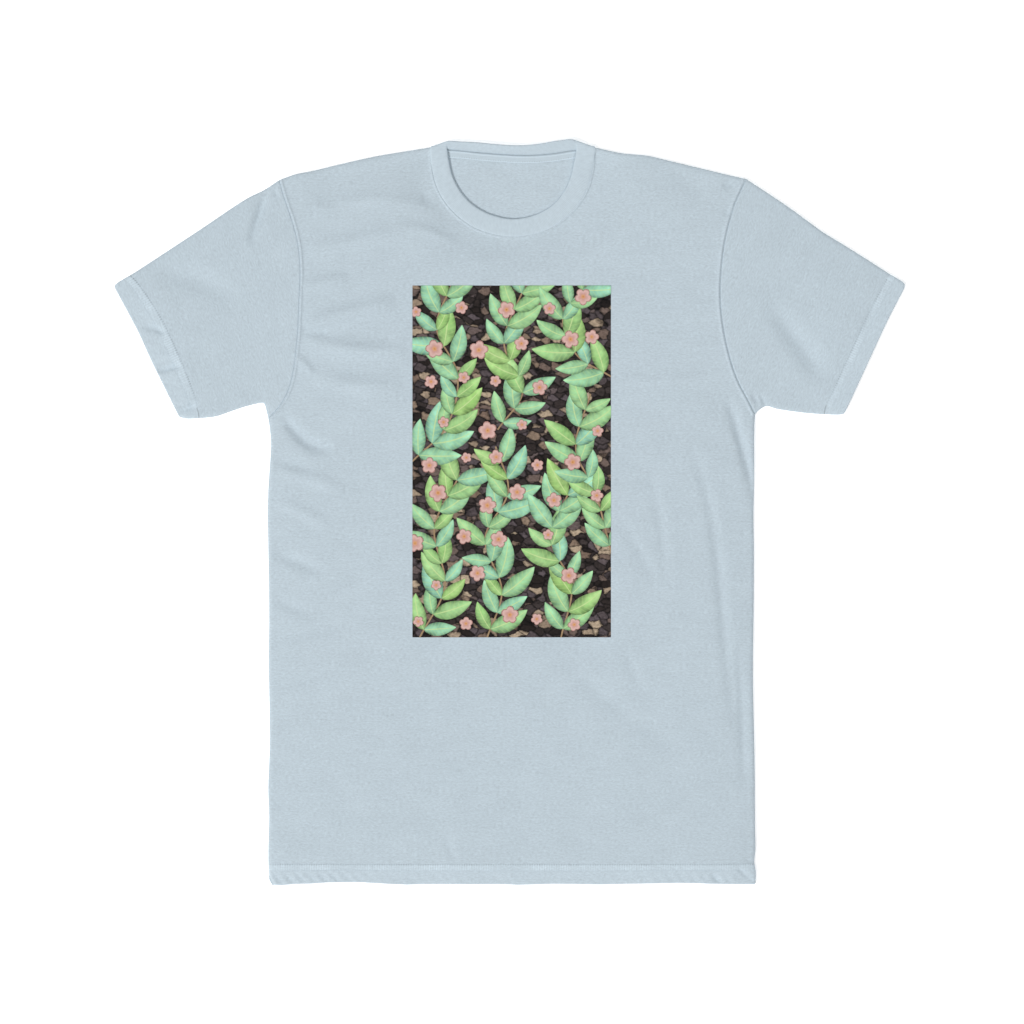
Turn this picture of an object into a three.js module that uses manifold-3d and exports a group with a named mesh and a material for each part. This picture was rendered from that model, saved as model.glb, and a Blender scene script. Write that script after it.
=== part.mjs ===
// A short-sleeved crew-neck T-shirt, laid flat on its back.
// Millimetres. +Z is up, out of the chest. +Y runs from the hem to the collar. +X is the wearer's left.
// The origin is on the surface that the shirt lies on, under the middle of its outline.

import * as THREE from "three";
import Module from "manifold-3d";

// Cloth
const JERSEY = 0.9; // thickness of the cloth of the body and sleeves
const RIB = 1.8; // thickness of the collar, which is rib folded in two
const TAPE = 0.5; // thickness of the neck tape
const FILM = 0.3; // thickness of the print
const SEAM_GAP = 0.3; // clearance between neighbouring pieces
const HEM_DEPTH = 19.5; // how deep the hem and the cuffs are folded in
const HEM_STEP = 0.8; // how far the raw edge inside a hem takes to thin out

// How the shirt lies: the back flat on the surface, the front over it with air between
const FOLD_HEIGHT = 4.2; // height of the folded edges, which hold two layers, or four at a hem
const LOFT = 8.5; // how far the middle rises above the folded edges
const LOFT_REACH = 18; // how far in from a folded edge most of that rise takes
const MOUTH_DROP = 0.35; // share of the rise that is lost at the hem and the cuffs
const MOUTH_REACH = 40; // how far in from the hem or a cuff most of that drop reaches

// Levels up the shirt
const HEM_Y = -355;
const ARMPIT_Y = 97; // level of the middle of the row that joins the armpits
const NECK_Y = 346.5; // where the collar's seam crosses the shoulder fold

// The two sides in plan, as distances from the middle. Laid cloth isn't quite even, so they differ a little.
const RIGHT = {
  sign: -1,
  side: [[226, HEM_Y], [229.6, -337], [229.3, 30], [227.2, 75], [232, 99]],
  underarm: [[251.5, 101.2], [266.7, 95.7], [281.2, 90.9]],
  cuff: [[313.5, 89.5], [375.5, 214.9]],
  sleeveTop: [[257.2, 293.6], [235.3, 303.5]],
  shoulder: [[223, 312.5], [180.2, 326.1], [144.1, 334.8], [105.2, 341.7]],
  armhole: [[213.6, 290.1], [201.9, 253.7], [199.7, 215], [202.4, 163.8], [214.6, 116]],
  collarTip: [60, 352.5],
};
const LEFT = {
  sign: 1,
  side: [[230.2, HEM_Y], [232.6, -337], [230.2, -121.6], [231.1, 11.4], [232.3, 95]],
  underarm: [[244.6, 101.3], [251.4, 98.5], [274.4, 95.5]],
  cuff: [[317.5, 93.5], [375.5, 217.9]],
  sleeveTop: [[307.1, 260.3], [255.8, 295.5]],
  shoulder: [[223.8, 314.9], [187.4, 324.9], [153.2, 333.5], [119, 340.1]],
  armhole: [[213.5, 292.6], [202.2, 247.2], [199.1, 213.4], [206, 154.5], [219, 117]],
  collarTip: [61.8, 354.3],
};
const SIDES = [RIGHT, LEFT];

// Collar: the front of its seam and of its free edge are half ellipses, the backs are shallow bows
const NECK_X = 2.3; // how far the neck lies from the middle
const SEAM = { halfWidth: 77.5, depth: 85.2, backDip: 6.9 };
const EDGE = { halfWidth: 61.6, depth: 68.6, backDip: 5.2 };
const COLLAR_PROUD = 0.5; // how far the collar's face stands above the cloth it is sewn to
const COLLAR_CORNER_IN = 1.4; // how far in from the seam's widest point the collar turns to the back
const BACK_SEAM_Z = 1.2; // level of the back seam, on the middle of the rib
const BACK_EDGE_Z = 12.4; // level of the back's free edge, which stands up off the surface
const TAPE_WIDTH = 7.8;
const TAPE_HALF_LENGTH = 66;
const TAPE_BELOW_SEAM = 1.5;

// Print, a rectangle on the chest
const PRINT = { left: -92.8, right: 95.3, bottom: -118.8, top: 214.7 };
const PRINT_CELL = 50;

// Mesh
const SIDE_ROWS = 9; // rows of cells from the hem to the armpit
const CHEST_ROWS = 8; // rows of cells from the armpit to the bottom of the neckline
const NECK_ROWS = 8; // rows of cells from there to the shoulder
const BODY_COLUMNS = 9; // columns of cells from the middle to a side
const SLEEVE_COLUMNS = 6; // columns of cells from the armhole to the cuff's hem
const BACK_NECK_CELLS = 5; // cells from the middle of the back of the collar to its end

const CLOTH = { color: "#bfced8", roughness: 0.95, metalness: 0 };
const COLLAR_CLOTH = { color: "#c2d0d9", roughness: 0.95, metalness: 0 };
const PRINT_INK = { color: "#6a6e52", roughness: 0.85, metalness: 0 };

const wasm = await Module();
wasm.setup();

const point = (x, y) => new THREE.Vector2(x, y);
const onSide = (side, places) => places.map(([x, y]) => point(side.sign * x, y));
const lerp = THREE.MathUtils.lerp;
const evenShares = (cells) => Array.from({ length: cells + 1 }, (_, i) => i / cells);
const crowdedToEnd = (share) => Math.sin((share * Math.PI) / 2);
const crowdedToEnds = (share) => (1 - Math.cos(share * Math.PI)) / 2;

// Outlines in plan

function polyline(points) {
  const path = new THREE.CurvePath();
  for (let i = 1; i < points.length; i++) path.add(new THREE.LineCurve(points[i - 1], points[i]));
  return path;
}

const neckCorner = (side) => point(NECK_X + side.sign * (SEAM.halfWidth + SEAM_GAP), NECK_Y);
const armpit = (side) => onSide(side, side.side).at(-1);
const shoulderEnd = (side) => onSide(side, side.shoulder)[0];

function sideEdge(side) {
  return polyline(onSide(side, side.side));
}

function underarmEdge(side) {
  return polyline([armpit(side), ...onSide(side, [...side.underarm, side.cuff[0]])]);
}

function sleeveTopEdge(side) {
  return polyline([shoulderEnd(side), ...onSide(side, [...side.sleeveTop].reverse().concat([side.cuff[1]]))]);
}

function shoulderEdge(side) {
  return polyline([neckCorner(side), ...onSide(side, side.shoulder).reverse()]);
}

// Places along an armhole where the rows of the body and the rings of the sleeve meet it.
const ARMHOLE_SHARES = evenShares(CHEST_ROWS + NECK_ROWS).map(crowdedToEnds);

function armholeSeam(side) {
  const inner = onSide(side, side.armhole).reverse();
  return new THREE.SplineCurve([armpit(side), ...inner, shoulderEnd(side)]);
}

// Height of the front's outer face

const segment = (a, b) => new THREE.Line3(new THREE.Vector3(a.x, a.y, 0), new THREE.Vector3(b.x, b.y, 0));
const foldsOf = (path) => path.curves.map((line) => segment(line.v1, line.v2));
const FOLDS = SIDES.flatMap((side) => [
  ...foldsOf(sideEdge(side)),
  ...foldsOf(underarmEdge(side)),
  ...foldsOf(sleeveTopEdge(side)),
  ...foldsOf(shoulderEdge(side)),
  segment(neckCorner(side), ...onSide(side, [side.collarTip])),
]);
const MOUTHS = [
  segment(sideEdge(RIGHT).getPoint(0), sideEdge(LEFT).getPoint(0)),
  ...SIDES.map((side) => segment(...onSide(side, side.cuff))),
];

function distanceTo(segments, p) {
  const place = new THREE.Vector3(p.x, p.y, 0);
  const nearest = new THREE.Vector3();
  return Math.min(...segments.map((s) => s.closestPointToPoint(place, true, nearest).distanceTo(place)));
}

function frontHeight(p) {
  const rise = 1 - Math.exp(-distanceTo(FOLDS, p) / LOFT_REACH);
  const mouth = 1 - MOUTH_DROP * Math.exp(-distanceTo(MOUTHS, p) / MOUTH_REACH);
  return FOLD_HEIGHT + LOFT * rise * mouth;
}

// Solids

const at = (p, z) => new THREE.Vector3(p.x, p.y, z);

// How far along a list of points each one is, as a share of its length.
function sharesOf(points) {
  let run = 0;
  const distances = points.map((p, i) => (run += i ? p.distanceTo(points[i - 1]) : 0));
  return distances.map((distance) => distance / run);
}

// Plan points between four edges, which are lists of points: straight rows from start to end, bent as the
// low and the high edge bend.
function patch(start, end, low, high) {
  const up = sharesOf(end);
  const lowShares = sharesOf(low);
  const highShares = sharesOf(high);
  const bend = (edge, shares, j) => edge[j].clone().sub(edge[0].clone().lerp(edge.at(-1), shares[j]));
  return start.map((from, i) =>
    low.map((_, j) =>
      from
        .clone()
        .lerp(end[i], lerp(lowShares[j], highShares[j], up[i]))
        .addScaledVector(bend(low, lowShares, j), 1 - up[i])
        .addScaledVector(bend(high, highShares, j), up[i]),
    ),
  );
}

// A closed solid between two grids of points with the same shape. Where it wraps, each row is a ring.
function clothSolid(outer, inner, wraps = false) {
  const rows = outer.length;
  const columns = outer[0].length;
  const places = [...outer.flat(), ...inner.flat()];
  const innerStart = rows * columns;
  const triangles = [];
  const quad = (a, b, c, d) => triangles.push(a, b, c, a, c, d);
  const cells = wraps ? columns : columns - 1;
  for (let j = 0; j < cells; j++) {
    const next = (j + 1) % columns;
    for (let i = 0; i + 1 < rows; i++) {
      const corners = [i * columns + j, i * columns + next, (i + 1) * columns + next, (i + 1) * columns + j];
      quad(...corners);
      quad(...corners.reverse().map((corner) => corner + innerStart));
    }
    const last = (rows - 1) * columns;
    quad(next, j, j + innerStart, next + innerStart);
    quad(last + j, last + next, last + next + innerStart, last + j + innerStart);
  }
  if (!wraps)
    for (let i = 0; i + 1 < rows; i++) {
      const [a, b] = [i * columns, (i + 1) * columns];
      const [c, d] = [a + columns - 1, b + columns - 1];
      quad(a, b, b + innerStart, a + innerStart);
      quad(d, c, c + innerStart, d + innerStart);
    }
  return closedSolid(places, triangles);
}

// A solid from a closed surface, turned to face outwards.
function closedSolid(places, triangles) {
  const vertProperties = new Float32Array(places.flatMap((p) => p.toArray()));
  const make = (triVerts) => new wasm.Manifold(new wasm.Mesh({ numProp: 3, vertProperties, triVerts }));
  const solid = make(new Uint32Array(triangles));
  return solid.volume() > 0 ? solid : make(new Uint32Array(triangles).reverse());
}

// Body

// Half of a body panel in plan. Its rows run from the middle, or the neckline, out to the side.
function halfPanelPlan(side, neckline) {
  const sideLength = ARMPIT_Y - HEM_Y;
  const hemRows = [0, HEM_DEPTH / sideLength];
  const firstRow = (HEM_DEPTH + HEM_STEP) / sideLength;
  const sideShares = [...hemRows, ...evenShares(SIDE_ROWS).map((share) => lerp(firstRow, 1, share))];
  const chestShares = evenShares(CHEST_ROWS).slice(1, -1);
  const middle = [
    ...sideShares.map((share) => point(NECK_X, lerp(HEM_Y, ARMPIT_Y, share))),
    ...chestShares.map((share) => point(NECK_X, lerp(ARMPIT_Y, neckline[0].y, share))),
    ...neckline,
  ];
  const seam = armholeSeam(side);
  const outside = [
    ...sideShares.map((share) => sideEdge(side).getPointAt(share)),
    ...ARMHOLE_SHARES.slice(1).map((share) => seam.getPointAt(share)),
  ];
  const columns = evenShares(BODY_COLUMNS).map(crowdedToEnd);
  const hem = polyline([middle[0], outside[0]]);
  const shoulder = shoulderEdge(side);
  const read = (path) => columns.map((share) => path.getPointAt(share));
  return patch(middle, outside, read(hem), read(shoulder));
}

// Thickness of a panel at row i and column j: doubled in the hem, and enough at the folded edges that the
// front and the back meet half-way up the fold.
function panelThickness(plan, i, j) {
  const onSideFold = j === plan[0].length - 1 && i <= SIDE_ROWS + 2;
  const onShoulder = i === plan.length - 1;
  if (onSideFold || onShoulder) return (FOLD_HEIGHT - SEAM_GAP) / 2;
  return i < 2 ? 2 * JERSEY : JERSEY;
}

const neckAngles = evenShares(NECK_ROWS).map((share) => (share * Math.PI) / 2);

function frontNeckline(side) {
  const halfWidth = side.sign * (SEAM.halfWidth + SEAM_GAP);
  const depth = SEAM.depth + SEAM_GAP;
  return neckAngles.map((a) => point(NECK_X + halfWidth * Math.sin(a), NECK_Y - depth * Math.cos(a)));
}

const backSeamY = (share) => NECK_Y - SEAM.backDip * (1 - share ** 2);

function backNeckline(side) {
  const halfWidth = side.sign * (SEAM.halfWidth + SEAM_GAP);
  return evenShares(NECK_ROWS).map((share) =>
    point(NECK_X + halfWidth * share, backSeamY(share) - (share < 1 ? SEAM_GAP : 0)),
  );
}

function panel(neckline, faces) {
  const [right, left] = SIDES.map((side) => {
    const plan = halfPanelPlan(side, neckline(side));
    const points = plan.map((row, i) => row.map((p, j) => faces(p, panelThickness(plan, i, j))));
    return clothSolid(...[0, 1].map((face) => points.map((row) => row.map((pair) => pair[face]))));
  });
  return right.add(left);
}

function frontPanel() {
  return panel(frontNeckline, (p, thickness) => {
    const z = frontHeight(p);
    return [at(p, z), at(p, z - thickness)];
  });
}

function backPanel() {
  return panel(backNeckline, (p, thickness) => [at(p, 0), at(p, thickness)]);
}

// Sleeves

// A sleeve is a flattened tube: rings round the arm, from the armhole to the cuff.
function sleeve(side) {
  const seam = armholeSeam(side);
  const cuff = polyline(onSide(side, side.cuff));
  const shift = point(side.sign * SEAM_GAP, 0);
  const atArmhole = ARMHOLE_SHARES.map((share) => seam.getPointAt(share).add(shift));
  const atCuff = ARMHOLE_SHARES.map((share) => cuff.getPointAt(share));
  const edge = (path) => {
    const length = path.getLength();
    const toHem = 1 - (HEM_DEPTH + HEM_STEP) / length;
    const shares = evenShares(SLEEVE_COLUMNS).map((share) => share * toHem);
    const points = [...shares, 1 - HEM_DEPTH / length, 1].map((share) => path.getPointAt(share));
    points[0].add(shift);
    return points;
  };
  const plan = patch(atArmhole, atCuff, edge(underarmEdge(side)), edge(sleeveTopEdge(side)));
  const rings = plan[0].map((_, j) => {
    const thickness = j > SLEEVE_COLUMNS ? 2 * JERSEY : JERSEY;
    const line = plan.map((row) => row[j]);
    const inset = insetEnds(line, JERSEY);
    const front = line.map((p) => at(p, frontHeight(p)));
    const back = line.map((p) => at(p, 0));
    const frontInner = inset.map((p) => at(p, frontHeight(p) - thickness));
    const backInner = inset.map((p) => at(p, thickness));
    return { outer: [...front, ...back.reverse()], inner: [...frontInner, ...backInner.reverse()] };
  });
  return clothSolid(rings.map((ring) => ring.outer), rings.map((ring) => ring.inner), true);
}

// A line of points with its two ends moved in along it.
function insetEnds(line, distance) {
  const toward = (from, to) => from.clone().add(to.clone().sub(from).setLength(distance));
  return [toward(line[0], line[1]), ...line.slice(1, -1), toward(line.at(-1), line.at(-2))];
}

// Collar

// A ring of rib, as pairs of points on its seam and on its free edge: round the front, then the back.
function collarRing() {
  const front = [...neckAngles.map((a) => -a).reverse(), ...neckAngles.slice(1)].map((a) => {
    const seam = point(NECK_X + SEAM.halfWidth * Math.sin(a), NECK_Y - SEAM.depth * Math.cos(a));
    const edge = point(NECK_X + EDGE.halfWidth * Math.sin(a), NECK_Y - EDGE.depth * Math.cos(a));
    const level = (p) => frontHeight(p) + COLLAR_PROUD - RIB / 2;
    return [at(seam, level(seam)), at(edge, level(edge))];
  });
  const backShares = evenShares(2 * BACK_NECK_CELLS).map((share) => 1 - 2 * share);
  const back = backShares.map((share) => {
    const side = share > 0 ? LEFT : RIGHT;
    const [tip] = onSide(side, [side.collarTip]);
    const seamX = NECK_X + (SEAM.halfWidth - COLLAR_CORNER_IN) * share;
    const edgeX = NECK_X + (tip.x - NECK_X) * Math.abs(share);
    const edgeY = tip.y - EDGE.backDip * (1 - share ** 2);
    const edgeZ = lerp(BACK_EDGE_Z, FOLD_HEIGHT, share ** 2);
    return [
      new THREE.Vector3(seamX, backSeamY(share), BACK_SEAM_Z),
      new THREE.Vector3(edgeX, edgeY, edgeZ),
    ];
  });
  return [...front, ...back];
}

function collar() {
  const ring = collarRing();
  const faces = [1, -1].map((sign) =>
    [0, 1].map((row) =>
      ring.map(([seam, edge], i) => {
        const before = ring.at(i - 1)[row];
        const after = ring[(i + 1) % ring.length][row];
        const normal = after.clone().sub(before).cross(edge.clone().sub(seam)).normalize();
        return ring[i][row].clone().addScaledVector(normal, (sign * RIB) / 2);
      }),
    ),
  );
  return clothSolid(...faces, true);
}

function neckTape() {
  const shares = evenShares(2 * BACK_NECK_CELLS).map((share) => 2 * share - 1);
  const face = (z) =>
    [0, TAPE_WIDTH].map((down) =>
      shares.map((share) => {
        const x = NECK_X + TAPE_HALF_LENGTH * share;
        const seamShare = (TAPE_HALF_LENGTH * share) / SEAM.halfWidth;
        return new THREE.Vector3(x, backSeamY(seamShare) - TAPE_BELOW_SEAM - down, z);
      }),
    );
  return clothSolid(face(JERSEY + SEAM_GAP + TAPE), face(JERSEY + SEAM_GAP));
}

// Print

function chestPrint() {
  const { left, right, bottom, top } = PRINT;
  const xs = evenShares(Math.ceil((right - left) / PRINT_CELL)).map((share) => lerp(left, right, share));
  const ys = evenShares(Math.ceil((top - bottom) / PRINT_CELL)).map((share) => lerp(bottom, top, share));
  const face = (lift) => ys.map((y) => xs.map((x) => at(point(x, y), frontHeight(point(x, y)) + lift)));
  return clothSolid(face(SEAM_GAP + FILM), face(SEAM_GAP));
}

// Scene

function piece(name, solid, look) {
  const { vertProperties, triVerts } = solid.getMesh();
  const geometry = new THREE.BufferGeometry();
  geometry.setAttribute("position", new THREE.BufferAttribute(vertProperties, 3));
  geometry.setIndex(new THREE.BufferAttribute(triVerts, 1));
  geometry.computeVertexNormals();
  const mesh = new THREE.Mesh(geometry, new THREE.MeshStandardMaterial(look));
  mesh.name = name;
  return mesh;
}

const shirt = new THREE.Group();
shirt.add(
  piece("front_panel", frontPanel(), CLOTH),
  piece("back_panel", backPanel(), CLOTH),
  piece("sleeve_right", sleeve(RIGHT), CLOTH),
  piece("sleeve_left", sleeve(LEFT), CLOTH),
  piece("collar", collar(), COLLAR_CLOTH),
  piece("neck_tape", neckTape(), CLOTH),
  piece("chest_print", chestPrint(), PRINT_INK),
);

export default shirt;
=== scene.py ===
# A light blue short-sleeved crew-neck T-shirt, laid flat on its back on a pale surface.
# Sizes are in millimetres, and become metres where a mesh is made. +X is the wearer's left, +Y runs from
# the hem to the collar, +Z is up. The origin is on the surface, under the middle of the outline.

import math

import bmesh
import bpy
import numpy as np
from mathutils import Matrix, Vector


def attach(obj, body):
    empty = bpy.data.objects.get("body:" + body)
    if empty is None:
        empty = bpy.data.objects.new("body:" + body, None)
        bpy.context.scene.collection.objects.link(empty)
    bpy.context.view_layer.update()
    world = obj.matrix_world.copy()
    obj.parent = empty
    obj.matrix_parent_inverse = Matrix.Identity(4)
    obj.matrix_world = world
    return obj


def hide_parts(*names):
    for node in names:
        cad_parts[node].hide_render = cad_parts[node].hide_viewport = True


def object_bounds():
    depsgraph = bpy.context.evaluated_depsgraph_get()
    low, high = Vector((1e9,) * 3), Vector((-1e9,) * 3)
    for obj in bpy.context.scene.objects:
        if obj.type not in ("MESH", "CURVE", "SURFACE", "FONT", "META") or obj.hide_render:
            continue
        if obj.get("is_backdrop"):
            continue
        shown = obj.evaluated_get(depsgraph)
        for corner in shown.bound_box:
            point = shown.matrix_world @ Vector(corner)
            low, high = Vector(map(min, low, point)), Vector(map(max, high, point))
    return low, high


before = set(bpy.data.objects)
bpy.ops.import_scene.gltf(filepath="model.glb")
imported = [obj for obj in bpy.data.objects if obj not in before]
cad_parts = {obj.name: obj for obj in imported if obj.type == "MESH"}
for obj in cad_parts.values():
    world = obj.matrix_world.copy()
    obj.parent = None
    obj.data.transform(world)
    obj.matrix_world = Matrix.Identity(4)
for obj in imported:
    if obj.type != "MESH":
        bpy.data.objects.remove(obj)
CAD_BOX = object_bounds()

MM = 0.001

# Cloth
JERSEY = 0.55  # thickness of one layer of the body's cloth
RIB = 0.75  # thickness of one layer of the collar's rib
TAPE = 0.5  # how far the neck tape stands above the back panel
HEM_DEPTH = 18.8  # from the hem's edge to its upper row of stitches
HEM_ROW_GAP = 6.0  # between the two rows of stitches
HEM_START = 400  # added to X along the bottom hem, so that its coordinate is above zero
STITCH_PITCH = 2.3
STITCH_LENGTH = 1.75
STITCH_RADIUS = 0.2
STITCH_SPAN = (-226.5, 229.5)  # of the rows along the bottom hem
FRONT_THREAD_SINK = 0.1  # how far the threads lie in the cloth
BACK_THREAD_SINK = 0.3
PUCKER_PITCH = 11.6  # from one of the hem's puckers to the next
PUCKER_DEPTH = 5.5  # of their deepest places, in from the edge

# How the shirt lies
FOLD_HEIGHT = 4.2
FOLD_MIDDLE = 2.1  # level of the seam in a folded edge
FOLD_RADIUS = 3.6  # how far in the round of a folded edge reaches
SETTLE_REACH = 7  # how far in from a folded edge the cloth starts to crease
LOFT = 3.4  # how much higher the middle lies than the folded edges
LOFT_REACH = 32
MOUTH_DROP = 0.35  # share of the loft that is missing at the hem and the cuffs
MOUTH_REACH = 40
NECK_SINK = 2.3  # how far the front sinks towards the back beside the neck
NECK_REACH = 26
ARMHOLE_RIDGE = dict(height=0.9, at=2.1, width=1.0)  # raised by the seam's allowance, in the body

# Levels
HEM_Y = -353.2  # the hem's edge at the middle
ARMPIT_Y = 97
NECK_X = 2.3
NECK_Y = 346.5

# Outline in plan, as distances from the middle. A cuff's bow is how much deeper its hem is half-way along.
RIGHT = dict(
    name="right",
    sign=-1,
    side=[(224, -354.7), (225.6, -352.9), (227.4, -349.6), (228.8, -345), (229.9, -331.6), (229.2, -286),
          (230, -263), (228.4, -217.6), (229.6, -138), (229.1, -103.6), (229.9, -35.2), (230.5, -1),
          (229.9, 21.9), (227.4, 64), (228.2, 77), (229.9, 89)],
    underarm=[(231.6, 96), (233, 101), (234.2, 103.2), (236.6, 103.6), (249.6, 100.8), (264.8, 95.9),
              (280, 90.8), (295.2, 89.2), (309, 88.9)],
    cuff=[(314.6, 90.6), (342.3, 147.3), (352.7, 170.1), (376, 213.8)],
    cuff_bow=0.36,
    sleeve_top=[(375.4, 215.9), (356, 228.1), (325.6, 248), (295.2, 268), (249.6, 298.2), (234.4, 305.6)],
    shoulder=[(219.6, 315.4), (204, 320.8), (188.8, 323.8), (158.4, 331.1), (128, 337.8), (97.6, 342.9)],
    armhole=[(215.2, 300), (211.8, 290.1), (206, 272.7), (201.4, 253.7), (199.4, 230.5), (200.3, 201.4),
             (202.2, 163.8), (207.5, 126), (214, 108.5), (218.7, 101.3), (224.3, 94.6)],
)
LEFT = dict(
    name="left",
    sign=1,
    side=[(227.4, -354.2), (230.8, -353.2), (232.6, -350.6), (233.2, -342), (231.8, -332), (232.8, -321),
          (232.5, -300), (232.1, -240), (230.5, -155), (231.2, -90), (231.4, -35.2), (231, -5),
          (231.7, 33.2), (231.8, 78.9), (232.5, 93)],
    underarm=[(236.8, 97.2), (243.5, 100.6), (252, 98.3), (267.2, 95.8), (282.4, 94), (297.6, 92.9),
              (313.8, 92.6)],
    cuff=[(317, 93.4), (321, 101.7), (336.8, 135.9), (358, 181.5), (374.4, 213)],
    cuff_bow=0.02,
    sleeve_top=[(374.6, 216.6), (358.4, 227.3), (343.2, 237.2), (312.8, 256.2), (297.6, 265.5),
                (282.4, 276.5), (267.2, 287.6), (252, 298)],
    shoulder=[(224.2, 316.3), (206.4, 320.4), (176, 327.7), (145.6, 335), (130.4, 338.5), (106, 340.9)],
    armhole=[(219.5, 306), (213.5, 293), (205.5, 265.2), (202.2, 247.2), (199.3, 213.4), (200.5, 187.2),
             (206.3, 154.5), (215.2, 126.6), (224.6, 108.3)],
)
SIDES = (RIGHT, LEFT)

# The hem's edge wavers by a few millimetres: offsets from HEM_Y along it
HEM_WAVER = [(-225, -0.9), (-219, -1.2), (-204, 0.2), (-189, 0.6), (-174, 1.7), (-143, 2.0), (-128, 1.1),
             (-113, 0.3), (-98, -0.3), (-84, 0.2), (-6, 0.2), (7, -0.4), (40, 0.5), (85, -0.1),
             (116, 0.5), (161, 1.3), (176, 1.1), (191, 0.4), (228, -0.3)]

# Collar in plan, from the wearer's right to the left: the seam and the free edge, in front and behind
FRONT_SEAM = [(-75.2, NECK_Y), (-75, 331), (-72, 314), (-63, 295.5), (-50, 281), (-30.1, 268.2),
              (2.6, 261.4), (36, 268.6), (57.6, 284.6), (70.7, 302.2), (77, 320), (79.8, NECK_Y)]
FRONT_EDGE = [(-60.6, 347), (-59.2, 334), (-54.4, 316), (-43.8, 298.9), (-26.9, 285.6), (3.2, 277.8),
              (33.1, 286.2), (47.8, 299.1), (57, 316), (61.6, 335), (63, 346.6)]
BACK_SEAM = [(-73, 346), (-59, 345.1), (-43.2, 343.9), (-30.1, 342.4), (-5, 340.6), (11.3, 339.8),
             (27.6, 340.2), (44, 341.8), (61.5, 344.5), (76.5, 346)]
BACK_EDGE = [(-60, 350.6), (-37.8, 350.4), (-16, 348.4), (9.1, 347), (27.6, 348.7), (45.1, 351.6),
             (60, 352.4)]
BACK_SEAM_Z = 1.3
BACK_EDGE_Z = 6.2
FRONT_EDGE_Z = 1.5  # of the middle of the rib, where it lies on the back panel
COLLAR_PROUD = 0.25  # how far the rib stands above the front panel
SHOULDER_Z = 3.4  # of the rib, where it turns over at the shoulders
BACK_TIP_Z = 5.0  # of the back's free edge, at the shoulders
FRONT_STATIONS = 15
BACK_STATIONS = 9
TAPE_WIDTH = 8.4
TAPE_LAYER = 0.3  # thickness of its sheet
TAPE_INSET = 9.0  # from the ends of the back seam
TAPE_PIPING = 2.4  # from the seam to the middle of the piping
TAPE_ROW = 7.0  # from the seam to the row of stitches
TAPE_CELLS = 60

# Print, the rectangle on the chest
PRINT = dict(left=-92.8, right=95.3, bottom=-118.8, top=214.7)

# Creases: how wide each one is, how high it stands, and the line that it follows. A height below zero
# is a valley.
CREASES = [
    # the right sleeve
    (3.6, -3.6, [(-231, 305), (-236, 289), (-240.5, 274), (-247, 254)]),
    (2.2, -1.9, [(-225, 308), (-220.5, 296)]),
    (12, -2.6, [(-340, 232), (-310, 224), (-280, 214), (-262, 196)]),
    (2.8, -2.2, [(-348, 178), (-326, 170)]),
    (2.2, -3.2, [(-335, 133.5), (-312, 139.5)]),
    (3.4, 1.0, [(-336, 147), (-318, 151)]),
    (2.4, -2.6, [(-316, 94), (-297, 102)]),
    # the body beside the right armhole
    (4.8, -4.4, [(-216, 92), (-206.5, 79.8), (-196.5, 69.5), (-186, 63), (-168, 59)]),
    (5, -1.8, [(-226, 50), (-203, 44), (-188, 38)]),
    (2.4, -2.6, [(-198, 172), (-172, 170)]),
    (7, 3.6, [(-195, 175), (-153, 189), (-109, 199)]),
    (7, 3.8, [(-195, 161), (-148, 154), (-99, 152)]),
    (8, 3, [(-186, 126), (-143, 120), (-102, 119)]),
    (7, 2.2, [(-192, 248), (-148, 257), (-99, 266)]),
    (5, 2.4, [(-196, 212), (-175, 218), (-155, 223)]),
    (7, 1.7, [(-187, 285), (-143, 296), (-95, 292), (-63, 281)]),
    (5, 1.2, [(-114, 272), (-80, 267), (-51, 254)]),
    (5, 1.9, [(-220, 41), (-192, 33), (-158, 21)]),
    (5, 1.9, [(-223, 9), (-197, 0), (-173, -14)]),
    (4.5, -2.6, [(-225, -38), (-200, -48), (-175, -57)]),
    (4, -1.8, [(-225, -81), (-207, -90), (-188, -96)]),
    (5, -1.6, [(-225, -125), (-192, -114), (-158, -108)]),
    (5, -1.6, [(-225, -169), (-192, -157), (-163, -145)]),
    (2.4, 3, [(-203, 148), (-194, 139), (-184, 130)]),
    (6, -1.2, [(-86, 300), (-73, 296)]),
    (12, -1.2, [(-150, 322), (-180, 292)]),
    # the body beside the left armhole
    (4.6, -4.4, [(206, 108), (212.5, 89), (218.5, 70), (225, 47), (232, 18), (240, -14)]),
    (5, -1.9, [(170, 70), (188, 11), (197, -47), (204, -125), (214, -213)]),
    (5, -1.1, [(131, 46), (143, -13), (148, -67)]),
    (5, -1, [(104, -6), (121, -36), (140, -67)]),
    (8, -1, [(42, -130), (76, -164), (120, -199), (159, -223)]),
    (5, -0.9, [(106, -123), (125, -172)]),
    (4, 1.1, [(103, 126), (145, 125), (189, 130)]),
    (4, -1.7, [(216, -125), (220, -184), (222, -262)]),
    (3.2, -2.0, [(201, 309), (214, 312.5)]),
    (2.2, -1.5, [(203, 287), (210.5, 282)]),
    (12, -1.2, [(150, 322), (186, 300)]),
    # the left sleeve
    (10, -3.6, [(246, 198), (275, 160), (302, 124)]),
    (2.4, -2.4, [(238, 111), (243.5, 97)]),
    (2.2, -2.0, [(229, 113), (237, 100)]),
    (6, -1.0, [(348, 196), (330, 158)]),
    # the hem
    (2.5, -1.2, [(-62, -307), (-52, -333)]),
    (1.8, -2.0, [(216, -337), (227, -350)]),
    (2.4, -1.8, [(190, -343), (200, -352)]),
    (2.2, -1.6, [(222, -328), (236, -334)]),
]

# Slow unevenness of the laid cloth
UNDULATION = 0.55
UNDULATION_WAVES = 14
UNDULATION_SHORTEST = 42
UNDULATION_LONGEST = 170

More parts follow.
